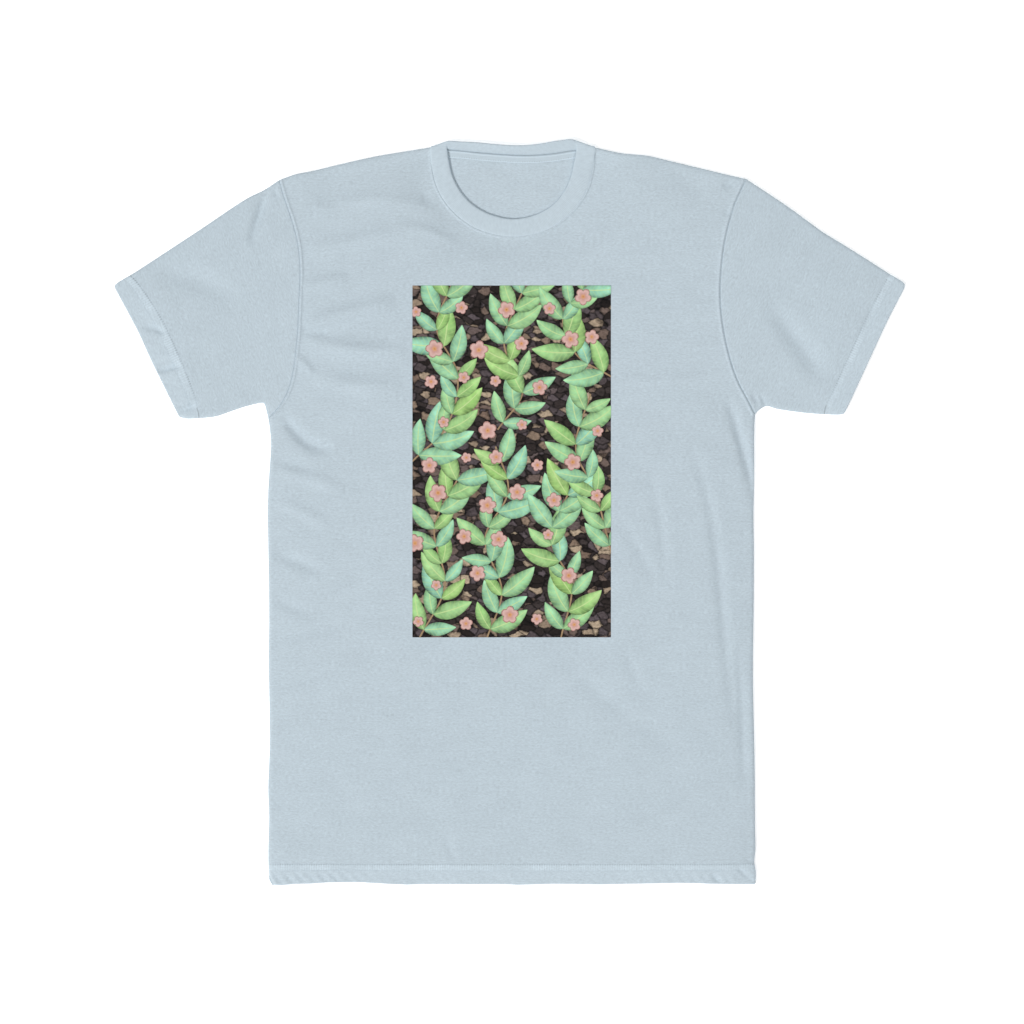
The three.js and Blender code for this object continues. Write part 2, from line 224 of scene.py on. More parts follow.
# Spacing of the meshes: distances in from an edge, and cells between
FOLD_STEPS = [0, 0.15, 0.5, 0.9, 1.3, 1.7, 2.1, 2.6, 3.2, 4, 5.6, 8]
SEAM_STEPS = [0, 0.4, 0.8, 1.2, 1.6, 2, 2.5, 3.1, 4, 5.6, 8]
HEM_STEPS = [0, 0.25, 0.7, 1.3, 2.2, 3.6, 5.4, 7.4, 9.4, 11.1, 11.9, 12.4, 12.8, 13.2, 13.7, 14.5, 15.8,
             17.1, 17.9, 18.4, 18.8, 19.2, 19.7, 20.5, 22, 24.5, 28]
SIDE_CELLS = 118
CENTRE_CELLS = 42
NECK_CELLS = 32
HALF_COLUMNS = 78
SLEEVE_CELLS = 54
SLEEVE_ROWS = 70
COLLAR_CELLS = 20  # fine cells between two stations of the collar

SEED = 7
CHUNK = 8192  # points that are measured at a time

# Stage, with its lights in metres and watts
FLOOR_SIZE = 8.0
FLOOR_Z = -0.25  # just below the threads under the hems
FLOOR_GLOW = 0.36
VIEW_WIDTH = 0.9728  # width in metres of what the photograph shows, at the shirt
VIEW_X = 1.55
LENS = 90
SENSOR = 36
WORLD_LIGHT = 0.25
KEY = dict(place=(-6.4, -5.4, 8.2), size=3.4, power=1005)
FILL = dict(place=(2.4, 2.8, 4.6), size=3.0, power=110)


# Points and lines

def pairs(*values):
    """Matching values, stacked as coordinates."""
    return np.stack(np.broadcast_arrays(*values), axis=-1)


def raised(plan, z):
    """Plan points with their heights."""
    return np.concatenate([plan, z[..., None]], axis=-1)


def smooth(points, closed=False, cells=12):
    """Points of a smooth line through the given ones: a Catmull-Rom curve, spaced as they are."""
    points = np.asarray(points, float)
    if closed:
        ring = np.concatenate([points[-1:], points, points[:2]])
    else:
        ring = np.concatenate([[2 * points[0] - points[1]], points, [2 * points[-1] - points[-2]]])
    line = []
    for a, b, c, d in zip(ring, ring[1:], ring[2:], ring[3:]):
        knots = np.cumsum([0] + [np.linalg.norm(q - p) ** 0.5 for p, q in ((a, b), (b, c), (c, d))])
        t = np.linspace(knots[1], knots[2], cells, endpoint=False)[:, None]

        def mix(p, q, i, j):
            return ((knots[j] - t) * p + (t - knots[i]) * q) / (knots[j] - knots[i])

        ab, bc, cd = mix(a, b, 0, 1), mix(b, c, 1, 2), mix(c, d, 2, 3)
        line.append(mix(mix(ab, bc, 0, 2), mix(bc, cd, 1, 3), 1, 2))
    if not closed:
        line.append(points[-1:])
    return np.concatenate(line)


class Line:
    """A polyline that can be read by distance from its start."""

    def __init__(self, points):
        self.points = np.asarray(points, float)
        steps = np.linalg.norm(np.diff(self.points, axis=0), axis=1)
        self.run = np.concatenate([[0], np.cumsum(steps)])
        self.length = self.run[-1]

    def at(self, distance):
        return pairs(*(np.interp(distance, self.run, axis) for axis in self.points.T))

    def spread(self, start_steps, cells, end_steps):
        """Points along the line: the steps in from its start and its end, and even cells between."""
        even = np.linspace(start_steps[-1], self.length - end_steps[-1], cells + 1)
        ends = [self.length - step for step in end_steps[-2::-1]]
        return self.at(np.concatenate([start_steps[:-1], even, ends]))


def nearest(line, p):
    """For each point of p, how far the line is and where along it, as a share of its length."""
    a, b = line.points[:-1], line.points[1:]
    run = b - a
    squares = np.maximum((run ** 2).sum(-1), 1e-12)
    flat = p.reshape(-1, 2)
    distance = np.empty(len(flat))
    share = np.empty(len(flat))
    for first in range(0, len(flat), CHUNK):
        part = flat[first:first + CHUNK, None, :]
        along = np.clip(((part - a) * run).sum(-1) / squares, 0, 1)
        away = np.linalg.norm(part - (a + along[..., None] * run), axis=-1)
        pick = away.argmin(1)
        rows = np.arange(len(pick))
        distance[first:first + CHUNK] = away[rows, pick]
        reached = line.run[pick] + along[rows, pick] * np.sqrt(squares[pick])
        share[first:first + CHUNK] = reached / line.length
    return distance.reshape(p.shape[:-1]), share.reshape(p.shape[:-1])


def on_side(side, points):
    return [(side["sign"] * x, y) for x, y in points]


def neck_corner(side):
    return FRONT_SEAM[0] if side is RIGHT else FRONT_SEAM[-1]


def side_curve(side, points):
    return Line(smooth(on_side(side, points)))


def side_line(side):
    return side_curve(side, side["side"])


def underarm_line(side):
    return side_curve(side, [side["side"][-1], *side["underarm"], side["cuff"][0]])


def cuff_line(side):
    return side_curve(side, side["cuff"])


def sleeve_top_line(side):
    return side_curve(side, [side["shoulder"][0], *side["sleeve_top"][::-1], side["cuff"][-1]])


def shoulder_line(side):
    return Line(smooth([neck_corner(side), *on_side(side, side["shoulder"])[::-1]]))


def armhole_line(side):
    """From the armpit up to the shoulder."""
    points = [side["shoulder"][0], *side["armhole"], side["side"][-1]]
    return Line(smooth(on_side(side, points))[::-1])


def collar_fold_line(side):
    tip = BACK_EDGE[0] if side is RIGHT else BACK_EDGE[-1]
    return Line([neck_corner(side), tip])


# Lay of the cloth

FOLDS = [line(side) for side in SIDES for line in
         (side_line, underarm_line, sleeve_top_line, shoulder_line, collar_fold_line)]
HEM_LINE = Line([(x, HEM_Y + waver) for x, waver in HEM_WAVER])
NECK_LINE = Line(smooth(FRONT_SEAM))
MOUTHS = [HEM_LINE] + [cuff_line(side) for side in SIDES]
CREASE_LINES = [Line(smooth(points)) for _, _, points in CREASES]


def undulation(p):
    """A slow, fixed unevenness: a sum of waves in many directions."""
    random = np.random.default_rng(SEED)
    height = np.zeros(p.shape[:-1])
    for _ in range(UNDULATION_WAVES):
        length = np.exp(random.uniform(np.log(UNDULATION_SHORTEST), np.log(UNDULATION_LONGEST)))
        angle, phase = random.uniform(0, 2 * np.pi, 2)
        along = p[..., 0] * np.cos(angle) + p[..., 1] * np.sin(angle)
        height += length / UNDULATION_LONGEST * np.sin(2 * np.pi * along / length + phase)
    return UNDULATION * height / np.sqrt(UNDULATION_WAVES / 2)


def creases(p):
    total = np.zeros(p.shape[:-1])
    for (width, height, _), line in zip(CREASES, CREASE_LINES):
        reach = 3 * width
        low, high = line.points.min(axis=0) - reach, line.points.max(axis=0) + reach
        near = ((p > low) & (p < high)).all(axis=-1)
        distance, share = nearest(line, p[near])
        ends = np.sin(np.pi * np.clip(share, 0, 1)) ** 0.6
        total[near] += height * np.exp(-(distance / width) ** 2) * ends
    return total


def lay(p):
    """At plan points: the front's height, the back's, and how far up the round of a folded edge it is."""
    distances = np.array([nearest(line, p)[0] for line in FOLDS])
    fold_distance = distances.min(axis=0)
    round_up = np.sqrt(1 - np.clip(1 - fold_distance / FOLD_RADIUS, 0, 1) ** 2)
    settled = 1 - np.exp(-(fold_distance / SETTLE_REACH) ** 2)
    loft = LOFT * np.prod(1 - np.exp(-distances / LOFT_REACH), axis=0)
    mouth_distance = np.min([nearest(line, p)[0] for line in MOUTHS], axis=0)
    loft *= 1 - MOUTH_DROP * np.exp(-mouth_distance / MOUTH_REACH)
    neck = np.exp(-(nearest(NECK_LINE, p)[0] / NECK_REACH) ** 2) * settled
    front = FOLD_MIDDLE + (FOLD_HEIGHT - FOLD_MIDDLE) * round_up + loft * (1 - neck) - NECK_SINK * neck
    front += settled * undulation(p) * (1 - neck) + (0.35 + 0.65 * settled) * round_up * creases(p)
    return front, FOLD_MIDDLE * (1 - round_up), round_up


def front_height(p):
    return lay(p)[0]


def ridge(distance, height, at, width):
    return height * np.exp(-((distance - at) / width) ** 2)


def groove(distance, depth, width):
    return ridge(distance, -depth, 0, width)


def turned_allowance(distance, height, reach):
    """A seam's allowance turned to one side: level up to its reach, and then down."""
    return height * np.exp(-(np.clip(distance - reach, 0, None) / 0.8) ** 2)


def pressed(relief):
    """What is left of a relief on the underside, which lies on the floor: only its hollows."""
    return np.clip(-0.25 * relief, 0, 0.4)


def hem_relief(depth, along, puckers):
    """Relief of a hem over the distance in from its edge, and over the distance along it."""
    band = 0.5 - 0.5 * np.tanh((depth - HEM_DEPTH) / 0.7)
    edge = np.clip(1 - depth / 1.1, 0, 1)
    relief = 0.06 * band - 0.8 * (1 - np.sqrt(1 - edge ** 2))
    relief += groove(depth - HEM_DEPTH, 0.05, 0.5) + groove(depth - HEM_DEPTH + HEM_ROW_GAP, 0.05, 0.6)
    wave = np.sin(2 * np.pi * (along + 0.9 * depth) / PUCKER_PITCH + 1.6 * np.sin(along / 31))
    low = np.exp(-((depth - PUCKER_DEPTH) / 4.4) ** 2)
    return relief - puckers * np.clip(wave, -0.3, 1) ** 2 * np.sign(wave) * low


# Meshes

def shares_of(points):
    steps = np.linalg.norm(np.diff(points, axis=0), axis=1)
    run = np.concatenate([[0], np.cumsum(steps)])
    return run / run[-1]


def patch(start, end, low, high):
    """Plan points between four edges: straight rows from start to end, bent as the low and high edges."""
    up = shares_of(end)[:, None, None]
    low_shares, high_shares = shares_of(low)[None, :, None], shares_of(high)[None, :, None]
    across = low_shares * (1 - up) + high_shares * up
    rows = start[:, None, :] * (1 - across) + end[:, None, :] * across
    bend_low = low[None] - (low[0] * (1 - low_shares) + low[-1] * low_shares)
    bend_high = high[None] - (high[0] * (1 - high_shares) + high[-1] * high_shares)
    return rows + bend_low * (1 - up) + bend_high * up


class Surface:
    """Grids of points, with two pairs of texture coordinates and a count of layers for each point."""

    def __init__(self):
        self.places, self.cloth_uv, self.hem_uv, self.layers, self.faces = [], [], [], [], []
        self.count = 0

    def add(self, places, cloth_uv, hem_uv=None, layers=1.0, flip=False, wraps=False):
        rows, columns = places.shape[:2]
        index = np.arange(rows * columns).reshape(rows, columns) + self.count
        if wraps:
            index = np.concatenate([index, index[:, :1]], axis=1)
        quads = np.stack([index[:-1, :-1], index[:-1, 1:], index[1:, 1:], index[1:, :-1]], axis=-1)
        quads = quads.reshape(-1, 4)
        self.faces.append(quads[:, ::-1] if flip else quads)
        self.places.append(places.reshape(-1, 3))
        self.cloth_uv.append(cloth_uv.reshape(-1, 2))
        self.hem_uv.append((cloth_uv if hem_uv is None else hem_uv).reshape(-1, 2))
        self.layers.append(np.broadcast_to(layers, (rows, columns)).reshape(-1))
        self.count += rows * columns

    def build(self, name, thickness=None):
        """The object, thickened inwards by a thickness for each layer."""
        places = np.concatenate(self.places) * MM
        faces = np.concatenate(self.faces)
        mesh = bpy.data.meshes.new(name)
        mesh.from_pydata(places.tolist(), [], faces.tolist())
        for label, values in (("cloth", self.cloth_uv), ("hem", self.hem_uv)):
            layer = mesh.uv_layers.new(name=label)
            values = (np.concatenate(values) * MM)[faces.reshape(-1)]
            layer.data.foreach_set("uv", values.reshape(-1))
        layers = mesh.attributes.new("layers", "FLOAT", "POINT")
        layers.data.foreach_set("value", np.concatenate(self.layers))
        work = bmesh.new()
        work.from_mesh(mesh)
        bmesh.ops.remove_doubles(work, verts=work.verts, dist=0.004 * MM)
        work.to_mesh(mesh)
        work.free()
        mesh.shade_smooth()
        piece = bpy.data.objects.new(name, mesh)
        bpy.context.scene.collection.objects.link(piece)
        if thickness:
            thicken(piece, thickness)
        return piece


def thicken(piece, thickness):
    values = np.empty(len(piece.data.vertices))
    piece.data.attributes["layers"].data.foreach_get("value", values)
    most = values.max()
    group = piece.vertex_groups.new(name="thick")
    for count in np.unique(values):
        group.add(np.flatnonzero(values == count).tolist(), float(count / most), "REPLACE")
    solid = piece.modifiers.new("thickness", "SOLIDIFY")
    solid.thickness = thickness * most * MM
    solid.offset = -1
    solid.vertex_group = "thick"


def finish_piece(piece, material, slot, *nodes):
    piece.data.materials.append(material)
    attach(piece, "root")
    if nodes:
        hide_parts(*nodes)


# Body

def levels_up(bottom, top):
    """Levels from the hem's edge up: the hem's steps, and then even ones."""
    return np.concatenate([bottom + np.array(HEM_STEPS[:-1]),
                           np.linspace(bottom + HEM_STEPS[-1], top, SIDE_CELLS + 1)])


def half_plan(side, neckline):
    """Plan of half a panel: rows from the middle, or the neckline, out to the side."""
    outline = side_line(side).points
    lower_y = levels_up(HEM_Y, outline[-1, 1])
    lower = pairs(np.interp(lower_y, outline[:, 1], outline[:, 0]), lower_y)
    middle_y = levels_up(HEM_Y, ARMPIT_Y)
    upper = armhole_line(side).spread([0], CENTRE_CELLS + NECK_CELLS, FOLD_STEPS)[1:]
    centre_y = np.linspace(ARMPIT_Y, neckline.points[0, 1], CENTRE_CELLS + 1)[1:]
    neck = neckline.spread([0], NECK_CELLS, FOLD_STEPS)[1:]
    middle = np.concatenate([pairs(NECK_X, middle_y), pairs(NECK_X, centre_y), neck])
    outside = np.concatenate([lower, upper])
    low = Line([middle[0], outside[0]]).spread(SEAM_STEPS, HALF_COLUMNS, FOLD_STEPS)
    high = shoulder_line(side).spread(SEAM_STEPS, HALF_COLUMNS, FOLD_STEPS)
    plan = patch(middle, outside, low, high)
    fade = np.clip(1 - (plan[..., 1] - HEM_Y) / HEM_DEPTH, 0, 1)
    plan[..., 1] += fade * (hem_level(plan[..., 0]) - HEM_Y)
    return plan


def middle_point(line):
    return NECK_X, np.interp(NECK_X, line[:, 0], line[:, 1])


def front_neckline(side):
    line = smooth(FRONT_SEAM)
    bottom = np.argmin(line[:, 1])
    half = line[bottom:] if side is LEFT else line[:bottom + 1][::-1]
    half = half[np.abs(half[:, 0] - NECK_X) > 0.5]
    return Line(np.concatenate([[middle_point(line)], half]))


def back_neckline(side):
    line = smooth([FRONT_SEAM[0], *BACK_SEAM, FRONT_SEAM[-1]])
    half = line[line[:, 0] > NECK_X + 1] if side is LEFT else line[line[:, 0] < NECK_X - 1][::-1]
    return Line(np.concatenate([[middle_point(line)], half]))


def panel_surface(neckline_of, is_front):
    surface = Surface()
    for side in SIDES:
        neckline = neckline_of(side)
        plan = half_plan(side, neckline)
        level = hem_level(plan[..., 0])
        above = plan[..., 1] - level
        depth = above * HEM_DEPTH / (HEM_Y + HEM_DEPTH - level)
        hem = depth < HEM_DEPTH
        front, back, settle = lay(plan)
        away_from_armhole = nearest(armhole_line(side), plan)[0]
        away_from_neck = nearest(neckline, plan)[0]
        relief = groove(away_from_armhole, 0.55, 0.6) + ridge(away_from_armhole, **ARMHOLE_RIDGE)
        relief += groove(away_from_neck, 0.1, 0.6) + turned_allowance(away_from_neck, 0.8, 1.0)
        puckers = pucker_strength(plan[..., 0])
        relief += hem_relief(depth, plan[..., 0], puckers)
        z = front + relief * settle if is_front else back + pressed(relief) * settle
        flip = (side is RIGHT) == is_front
        hem_uv = pairs(plan[..., 0] + HEM_START, depth)
        surface.add(raised(plan, z), plan, hem_uv, np.where(hem, 2.0, 1.0), flip=flip)
    return surface


def hem_level(x):
    xs, waver = np.array(HEM_WAVER).T
    return HEM_Y + np.interp(x, xs, waver)


def pucker_strength(x):
    """The hem's puckers are strongest at the wearer's right end."""
    strong = 1.5 / (1 + np.exp((x + 148) / 8))
    return 0.5 + strong + 0.8 / (1 + np.exp((140 - x) / 10))


# Sleeves

def cuff_deepening(side, share):
    """By what share of its depth the cuff's hem is deeper, at a share of the way along the cuff."""
    return side["cuff_bow"] * np.clip(np.sin(np.pi * share), 0, 1) ** 0.6


def cuff_inward(side):
    """The direction from the cuff's edge towards the body."""
    run = side["sign"] * (cuff_line(side).points[-1] - cuff_line(side).points[0])
    return np.array([-run[1], run[0]]) / np.linalg.norm(run)


def sleeve_surface(side):
    underarm, top = underarm_line(side), sleeve_top_line(side)
    start = armhole_line(side).spread(FOLD_STEPS, SLEEVE_ROWS, FOLD_STEPS)
    end = cuff_line(side).spread(FOLD_STEPS, SLEEVE_ROWS, FOLD_STEPS)
    low = underarm.spread(SEAM_STEPS, SLEEVE_CELLS, HEM_STEPS)
    high = top.spread(SEAM_STEPS, SLEEVE_CELLS, HEM_STEPS)
    plan = patch(start, end, low, high)
    depth, share = nearest(cuff_line(side), plan)
    along = share * cuff_line(side).length
    deeper = cuff_deepening(side, share) * np.clip((60 - depth) / 40, 0, 1)
    plan = plan + (deeper * depth)[..., None] * cuff_inward(side)
    hem = depth < HEM_DEPTH
    away_from_armhole = nearest(armhole_line(side), plan)[0]
    relief = groove(away_from_armhole, 0.45, 0.6) + hem_relief(depth, along, 0.3)
    front, back, settle = lay(plan)
    front += relief * settle
    back += pressed(relief) * settle
    axis = end.mean(axis=0) - start.mean(axis=0)
    axis /= np.linalg.norm(axis)
    turned = pairs(plan[..., 0] * axis[1] - plan[..., 1] * axis[0], plan @ axis)
    surface = Surface()
    layers = np.where(hem, 2.0, 1.0)
    for z, below in ((front, False), (back, True)):
        flip = (side is RIGHT) != below
        surface.add(raised(plan, z), turned, pairs(along, depth), layers, flip=flip)
    return surface


# Collar

def collar_stations():
    """Pairs of points on the collar's seam and free edge, round the front and then round the back."""
    fronts = []
    for line in (FRONT_SEAM, FRONT_EDGE):
        line = Line(smooth(line))
        points = line.at(np.linspace(0, line.length, FRONT_STATIONS))
        fronts.append(raised(points, front_height(points) + COLLAR_PROUD - RIB))
    seam, edge = fronts
    seam[[0, -1], 2] = SHOULDER_Z
    share = np.abs(np.linspace(-1, 1, FRONT_STATIONS))
    edge[:, 2] = FRONT_EDGE_Z + (SHOULDER_Z - FRONT_EDGE_Z) * share ** 6
    backs = []
    for line in (BACK_SEAM, BACK_EDGE):
        line = Line(smooth(line))
        backs.append(line.at(np.linspace(0, line.length, BACK_STATIONS))[::-1])
    share = np.abs(np.linspace(1, -1, BACK_STATIONS))
    back_seam = raised(backs[0], np.full(BACK_STATIONS, BACK_SEAM_Z))
    back_edge = raised(backs[1], BACK_EDGE_Z + (BACK_TIP_Z - BACK_EDGE_Z) * share ** 2.2)
    return np.concatenate([seam, back_seam]), np.concatenate([edge, back_edge])


def collar_section():
    """The rib folded in two, as shares across the band and offsets from its middle, in layers."""
    across = np.array([0, 0.03, 0.08, 0.16, 0.3, 0.45, 0.6, 0.74, 0.86, 0.93])
    lift = np.array([0.12, 0.62, 0.95, 1.04, 1.08, 1.1, 1.1, 1.08, 1.04, 0.98])
    turn = np.linspace(np.pi / 2, -np.pi / 2, 9)[1:-1]
    round_across = 0.94 + 0.06 * np.cos(turn)
    round_lift = 0.95 * np.sin(turn)
    return (np.concatenate([across, round_across, across[::-1]]),
            np.concatenate([lift, round_lift, -lift[::-1]]))


def collar_surface():
    seam, edge = (smooth(points, closed=True, cells=COLLAR_CELLS) for points in collar_stations())
    tangent = np.roll(seam + edge, -1, axis=0) - np.roll(seam + edge, 1, axis=0)
    normal = np.cross(tangent, edge - seam)
    normal /= np.linalg.norm(normal, axis=1)[:, None]
    across, lift = collar_section()
    places = seam + across[:, None, None] * (edge - seam) + lift[:, None, None] * RIB * normal
    width = np.linalg.norm(edge - seam, axis=1).mean()
    run = np.concatenate([[0], np.cumsum(np.linalg.norm(np.diff((seam + edge) / 2, axis=0), axis=1))])
    steps = np.concatenate([[0], np.cumsum(np.abs(np.diff(across)))]) * width
    uv = pairs(run[None, :], steps[:, None])
    surface = Surface()
    surface.add(places, uv, wraps=True, flip=True)
    return surface


# Neck tape

def tape_surface():
    """A strip below the collar's seam, inside the back of the neck: a piping, then a flat stitched band."""
    seam = Line(smooth(BACK_SEAM))
    top = seam.at(np.linspace(TAPE_INSET, seam.length - TAPE_INSET, TAPE_CELLS + 1))
    across = np.array([0.2, 0.6, 1.1, 1.6, 2, 2.4, 2.8, 3.2, 3.8, 4.8, 5.8, 6.4, 6.7, 7, 7.3, 7.7, 8.1,
                       TAPE_WIDTH])
    lift = TAPE * np.minimum(1, (TAPE_WIDTH - across) / 0.4 + 0.4)
    lift += ridge(across, 0.6, TAPE_PIPING, 0.6) - ridge(across, 0.3, TAPE_ROW, 0.35)
    plan = top[None] - pairs(0, across)[:, None]
    z = JERSEY + lay(plan)[1] + lift[:, None]
    uv = pairs(top[None, :, 0], across[:, None])
    surface = Surface()
    surface.add(raised(plan, z), uv, flip=True)
    return surface


# Print: leafy stems and small blossoms over a mottled ground

STEMS = [
    [(-86, -119), (-62, -70), (-72, -15), (-48, 35)],
    [(-22, -119), (-8, -75), (-24, -25), (-2, 20), (-14, 62)],
    [(48, -119), (58, -70), (38, -25), (56, 20)],
    [(96, -40), (80, 20), (62, 60), (76, 112)],
    [(-93, 48), (-60, 82), (-50, 130), (-70, 175), (-56, 215)],
    [(-12, 78), (12, 115), (-6, 160), (14, 215)],
    [(96, 128), (62, 150), (50, 185), (72, 215)],
]
STEM_WIDTH = 1.5
LEAF_PITCH = 17.0  # along a stem
LEAF_LENGTH = (26, 42)
LEAF_WIDTH = 0.42  # of its length
LEAF_ANGLE = 0.9  # from the stem, in radians
BLOSSOM_COLUMNS = 5
BLOSSOM_ROWS = 9
BLOSSOM_SCATTER = 9.0
BLOSSOM_RADIUS = (5.0, 9.5)
BLOSSOM_SHARE = 0.85  # of the places that hold one
GROUND_CELL = 3.0
GROUND_LIFT = 0.12
STEM_LIFT = 0.19
LEAF_LIFT = 0.22
LAYER_STEP = 0.002  # each leaf lies this much above the one before
LEAF_CELLS = 22
BLOSSOM_LIFT = 0.75


def on_front(points, lift):
    return raised(points, front_height(points) + lift)


def ground_surface():
    lines = []
    for low, high in (("left", "right"), ("bottom", "top")):
        cells = round((PRINT[high] - PRINT[low]) / GROUND_CELL)
        lines.append(np.linspace(PRINT[low], PRINT[high], cells + 1))
    plan = np.stack(np.meshgrid(*lines), axis=-1)
    surface = Surface()
    surface.add(on_front(plan, GROUND_LIFT), plan)
    return surface


def leaf_plan(base, angle, length, curl):
    """Grid of a leaf, from its base to its tip and from one edge to the other."""
    along = np.linspace(0, 1, LEAF_CELLS + 1)
    half = 0.5 * LEAF_WIDTH * length * np.sin(np.pi * along ** 0.8) ** 0.85
    heading = angle + curl * along
    steps = length / LEAF_CELLS * pairs(np.cos(heading), np.sin(heading))
    middle = np.array(base) + np.cumsum(steps, axis=0) - steps[0]
    sideways = pairs(-np.sin(heading), np.cos(heading))
    across = np.linspace(-1, 1, 11)
    plan = middle[:, None] + half[:, None, None] * across[None, :, None] * sideways[:, None]
    return plan, pairs(along[:, None], across[None, :])


def stem_plan(line):
    points = line.at(np.linspace(0, line.length, int(line.length / 3)))
    run = np.gradient(points, axis=0)
    sideways = pairs(-run[:, 1], run[:, 0]) / np.linalg.norm(run, axis=1)[:, None]
    half = 0.5 * STEM_WIDTH
    return points[:, None] + np.array([-half, half])[None, :, None] * sideways[:, None]


def blossom_plan(x, y, radius, turn):
    """Grid of a blossom of five petals, from its middle out and all round."""
    around = np.linspace(0, 2 * np.pi, 61)[:-1]
    reach = radius * (0.62 + 0.38 * np.abs(np.cos(2.5 * (around - turn))) ** 0.55)
    out = np.linspace(0.02, 1, 6)
    plan = np.array([x, y]) + (out[:, None] * reach)[..., None] * pairs(np.cos(around), np.sin(around))
    return plan, pairs(out[:, None], around[None, :])


def blossom_places(random):
    """Scattered over the print, about evenly, with every second row set over by half a space."""
    wide = (PRINT["right"] - PRINT["left"]) / BLOSSOM_COLUMNS
    high = (PRINT["top"] - PRINT["bottom"]) / BLOSSOM_ROWS
    for row in range(BLOSSOM_ROWS):
        for column in range(BLOSSOM_COLUMNS):
            x = PRINT["left"] + (column + 0.25 + 0.5 * (row % 2)) * wide
            y = PRINT["bottom"] + (row + 0.5) * high
            place = np.array([x, y]) + random.uniform(-BLOSSOM_SCATTER, BLOSSOM_SCATTER, 2)
            if random.uniform() < BLOSSOM_SHARE:
                yield place


def motif_surfaces():
    """Leaves, stems and blossoms. Leaves and blossoms have coordinates of their own in place of the hem's,
    and a random tone in place of the count of layers."""
    random = np.random.default_rng(SEED)
    leaves, stems, blossoms = Surface(), Surface(), Surface()
    lift = LEAF_LIFT
    for points in STEMS:
        line = Line(smooth(points))
        plan = stem_plan(line)
        stems.add(on_front(plan, STEM_LIFT), plan, flip=True)
        side = 1
        for distance in np.arange(LEAF_PITCH / 2, line.length, LEAF_PITCH):
            here, ahead = line.at(distance), line.at(min(distance + 2, line.length))
            heading = math.atan2(*(ahead - line.at(distance - 2))[::-1])
            for way in (side, -side):
                length = random.uniform(*LEAF_LENGTH)
                angle = heading + way * LEAF_ANGLE * random.uniform(0.75, 1.2)
                plan, own = leaf_plan(here, angle, length, -way * random.uniform(0.1, 0.7))
                lift += LAYER_STEP
                leaves.add(on_front(plan, lift), plan, own, random.uniform(0, 1), flip=True)
            side = -side
    for x, y in blossom_places(random):
        plan, own = blossom_plan(x, y, random.uniform(*BLOSSOM_RADIUS), random.uniform(0, 2))
        blossoms.add(on_front(plan, BLOSSOM_LIFT), plan, own, random.uniform(0, 1), wraps=True)
    return leaves, stems, blossoms


def clip_to_print(piece):
    """Cuts a motif off at the print's edges."""
    work = bmesh.new()
    work.from_mesh(piece.data)
    outward = dict(left=(-1, 0, 0), right=(1, 0, 0), bottom=(0, -1, 0), top=(0, 1, 0))
    for key, normal in outward.items():
        place = [abs(n) * PRINT[key] * MM for n in normal]
        parts = work.verts[:] + work.edges[:] + work.faces[:]
        bmesh.ops.bisect_plane(work, geom=parts, plane_co=place, plane_no=normal, clear_outer=True)
    work.to_mesh(piece.data)
    work.free()
    return piece


# Stitches

def stitch_rows():
    """Lines in plan that the hems' two rows of stitches follow."""
    rows = []
    for depth in (HEM_DEPTH, HEM_DEPTH - HEM_ROW_GAP):
        xs = np.linspace(*STITCH_SPAN, 400)
        rows.append(pairs(xs, HEM_Y + depth + (hem_level(xs) - HEM_Y) * (1 - depth / HEM_DEPTH)))
        for side in SIDES:
            cuff = cuff_line(side)
            share = np.linspace(0.01, 0.99, 300)
            in_from_edge = depth * (1 + cuff_deepening(side, share))
            rows.append(cuff.at(share * cuff.length) + in_from_edge[:, None] * cuff_inward(side))
    return rows


def stitches_surface():
    """Short arched threads, one for each stitch, in front and behind."""
    surface = Surface()
    along = np.linspace(-0.5, 0.5, 6)
    arch = STITCH_RADIUS * (1.1 - 2.6 * (2 * along) ** 4)
    around = np.linspace(0, 2 * np.pi, 7)[:-1]
    ring, lift = STITCH_RADIUS * np.cos(around), STITCH_RADIUS * np.sin(around)
    for points in stitch_rows():
        line = Line(points)
        middles = np.arange(STITCH_PITCH / 2, line.length - STITCH_PITCH / 2, STITCH_PITCH)
        centres = line.at(middles)
        runs = line.at(middles + 0.5) - line.at(middles - 0.5)
        runs /= np.linalg.norm(runs, axis=1)[:, None]
        front, back, _ = lay(centres)
        for up, heights in ((1, front - FRONT_THREAD_SINK), (-1, back + BACK_THREAD_SINK)):
            for centre, run, height in zip(centres, runs, heights):
                spine = centre + (along * STITCH_LENGTH)[:, None] * run
                plan = spine[:, None] + ring[None, :, None] * np.array([-run[1], run[0]])
                z = height + up * arch[:, None] + lift[None, :]
                surface.add(raised(plan, z), plan, wraps=True, flip=True)
    return surface


# Materials

